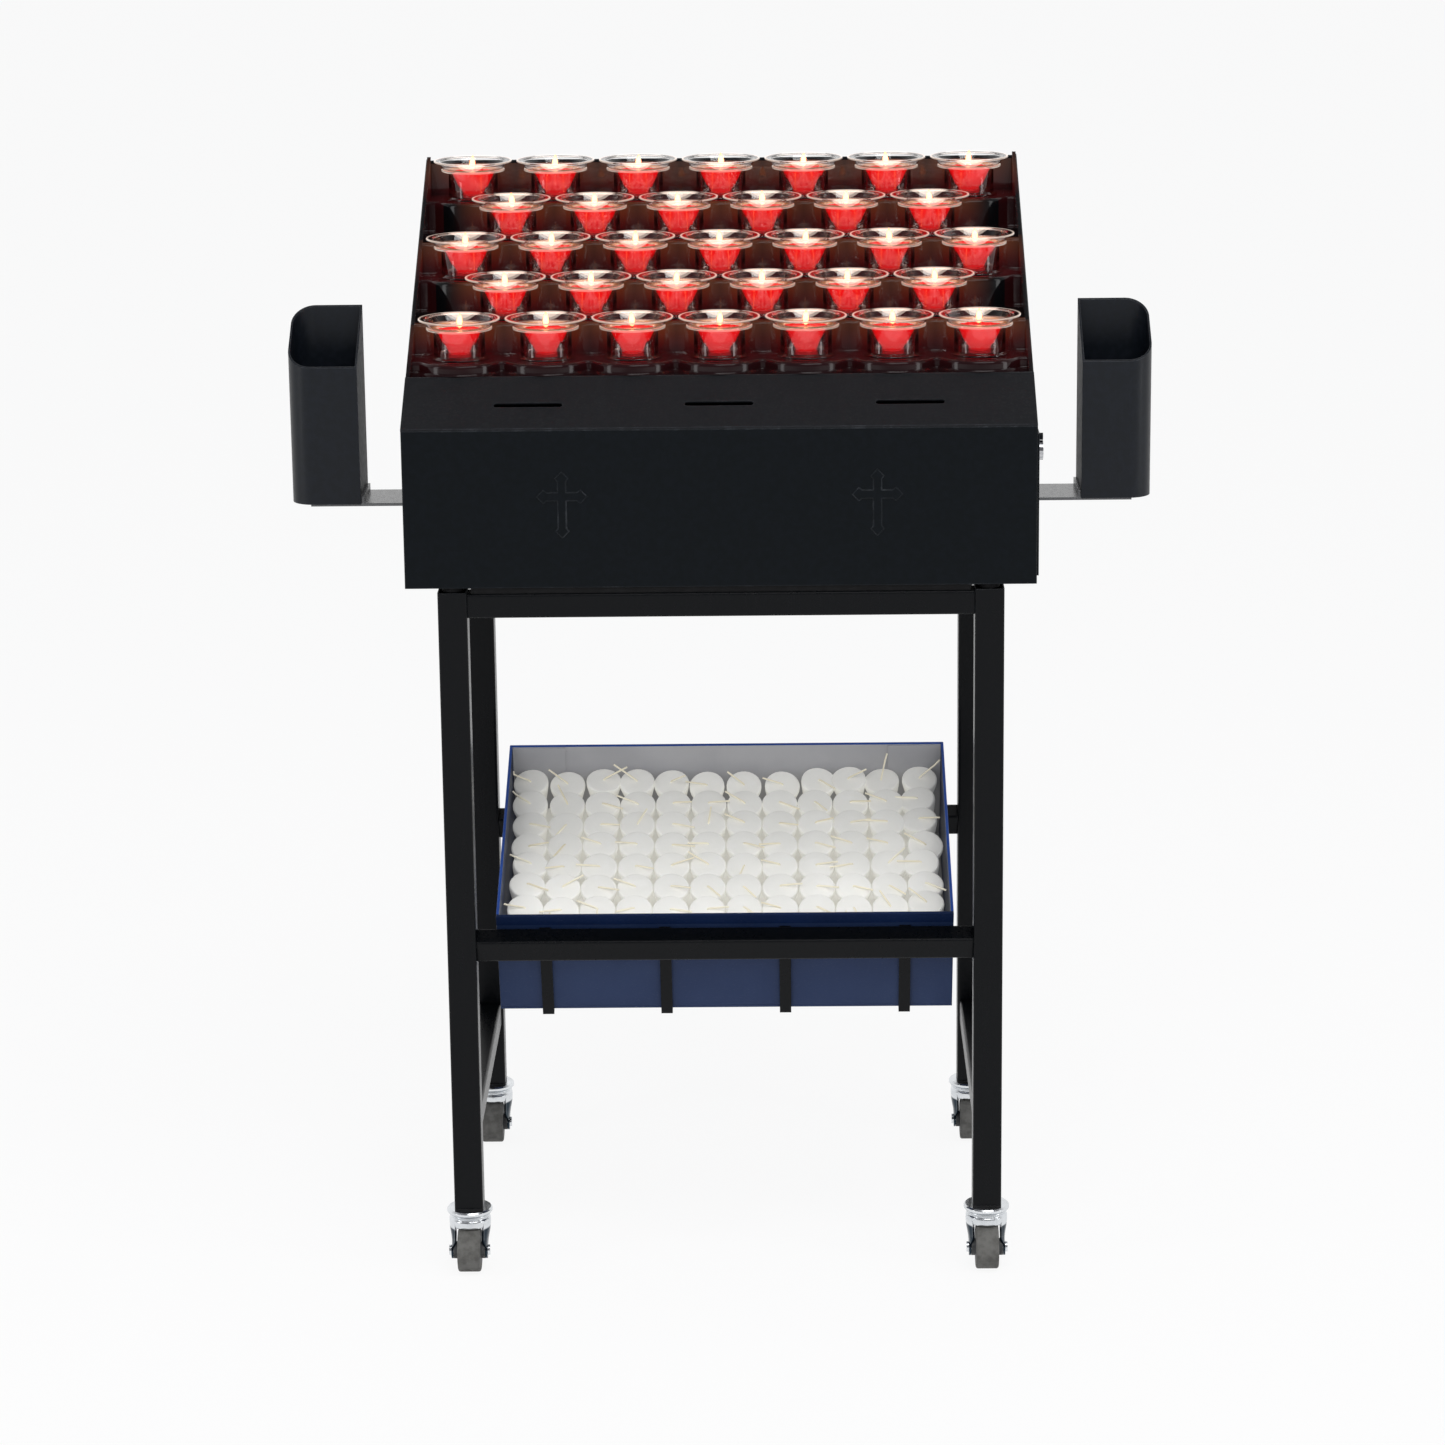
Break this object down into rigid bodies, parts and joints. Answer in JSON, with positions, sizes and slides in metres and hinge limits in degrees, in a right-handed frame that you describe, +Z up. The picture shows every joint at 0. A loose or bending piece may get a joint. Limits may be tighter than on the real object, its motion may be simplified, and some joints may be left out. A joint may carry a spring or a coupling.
{
  "type": "votive candle rack",
  "caption": "Wheeled steel votive candle rack with a sloping stepped candle tray, a coin box with drawer, side bins and a tilted cradle for spare candles.",
  "frame": {"origin": "on the floor under the middle of the rack's overall box", "axes": "+X to the right of someone facing the rack, +Y from its front to its back, +Z up"},
  "size_m": [0.884, 0.4569, 1.1286],
  "materials": {
    "box_paint": "satin powder coat",
    "panel_paint": "satin powder coat",
    "tray_gloss": "glossy",
    "frame_paint": "satin powder coat",
    "pad_rubber": "matt",
    "plug_plastic": "matt",
    "lock_chrome": "polished",
    "bolt_steel": "zinc plated",
    "zinc": "bright zinc plating",
    "tyre_rubber": "matt grey",
    "hub_plastic": "satin",
    "cup_clear": "clear, glossy",
    "red_wax": "glossy red wax",
    "wick_cotton": "matt",
    "carton_board": "printed board",
    "white_wax": "waxy"
  },
  "bodies": {
    "rack": {"arm_bolts": "bolt_steel", "arm_nuts": "bolt_steel", "bin_arm_left": "box_paint", "bin_arm_right": "box_paint", "bin_left": "box_paint", "bin_right": "box_paint", "box_back": "box_paint", "box_floor": "box_paint", "box_front": "box_paint", "box_pads": "pad_rubber", "box_side_left": "box_paint", "box_side_right": "box_paint", "candle_cups": "cup_clear", "candle_wax": "red_wax", "candle_wicks": "wick_cotton", "caster_stems": "zinc", "coin_partition": "box_paint", "cradle_bars": "frame_paint", "cradle_rail_front": "frame_paint", "cradle_rail_rear": "frame_paint", "cup_inserts": "cup_clear", "leg_front_left": "frame_paint", "leg_front_right": "frame_paint", "leg_plugs": "plug_plastic", "leg_rear_left": "frame_paint", "leg_rear_right": "frame_paint", "low_side_rails": "frame_paint", "slot_panel": "panel_paint", "top_rail_front": "frame_paint", "top_rail_rear": "frame_paint", "top_side_rails": "frame_paint", "tray_back": "tray_gloss", "tray_side_left": "tray_gloss", "tray_side_right": "tray_gloss", "tray_step_1": "tray_gloss", "tray_step_2": "tray_gloss", "tray_step_3": "tray_gloss", "tray_step_4": "tray_gloss", "tray_step_5": "tray_gloss"},
    "caster_front_left": {"fork_front_left": "zinc", "axle_front_left": "zinc"},
    "wheel_front_left": {"tyre_front_left": "tyre_rubber", "hub_front_left": "hub_plastic"},
    "caster_front_right": {"fork_front_right": "zinc", "axle_front_right": "zinc"},
    "wheel_front_right": {"tyre_front_right": "tyre_rubber", "hub_front_right": "hub_plastic"},
    "caster_rear_left": {"fork_rear_left": "zinc", "axle_rear_left": "zinc"},
    "wheel_rear_left": {"tyre_rear_left": "tyre_rubber", "hub_rear_left": "hub_plastic"},
    "caster_rear_right": {"fork_rear_right": "zinc", "axle_rear_right": "zinc"},
    "wheel_rear_right": {"tyre_rear_right": "tyre_rubber", "hub_rear_right": "hub_plastic"},
    "drawer": {"coin_drawer": "box_paint", "lock_body": "lock_chrome"},
    "lock": {"lock_plug": "lock_chrome"},
    "carton": {"carton": "carton_board", "spare_candles": "white_wax"}
  },
  "joints": [
    {"name": "swivel_front_left", "type": "hinge", "parent": "rack", "child": "caster_front_left", "pos_m": [-0.2725, -0.1895, 0.06], "axis": [0, 0, 1], "continuous": true},
    {"name": "spin_front_left", "type": "hinge", "parent": "caster_front_left", "child": "wheel_front_left", "pos_m": [-0.2725, -0.2055, 0.023], "axis": [1, 0, 0], "continuous": true},
    {"name": "swivel_front_right", "type": "hinge", "parent": "rack", "child": "caster_front_right", "pos_m": [0.2725, -0.1895, 0.06], "axis": [0, 0, 1], "continuous": true},
    {"name": "spin_front_right", "type": "hinge", "parent": "caster_front_right", "child": "wheel_front_right", "pos_m": [0.2725, -0.2055, 0.023], "axis": [1, 0, 0], "continuous": true},
    {"name": "swivel_rear_left", "type": "hinge", "parent": "rack", "child": "caster_rear_left", "pos_m": [-0.2725, 0.2045, 0.06], "axis": [0, 0, 1], "continuous": true},
    {"name": "spin_rear_left", "type": "hinge", "parent": "caster_rear_left", "child": "wheel_rear_left", "pos_m": [-0.2725, 0.1885, 0.023], "axis": [1, 0, 0], "continuous": true},
    {"name": "swivel_rear_right", "type": "hinge", "parent": "rack", "child": "caster_rear_right", "pos_m": [0.2725, 0.2045, 0.06], "axis": [0, 0, 1], "continuous": true},
    {"name": "spin_rear_right", "type": "hinge", "parent": "caster_rear_right", "child": "wheel_rear_right", "pos_m": [0.2725, 0.1885, 0.023], "axis": [1, 0, 0], "continuous": true},
    {"name": "drawer_slide", "type": "slide", "parent": "rack", "child": "drawer", "axis": [1, 0, 0], "range_m": [0, 0.45]},
    {"name": "lock_turn", "type": "hinge", "parent": "drawer", "child": "lock", "pos_m": [0.32, -0.1655, 0.868], "axis": [1, 0, 0], "range_deg": [0, 90]},
    {"name": "carton_lift", "type": "slide", "parent": "rack", "child": "carton", "axis": [0, -0.342, 0.9397], "range_m": [0, 0.12]}
  ]
}
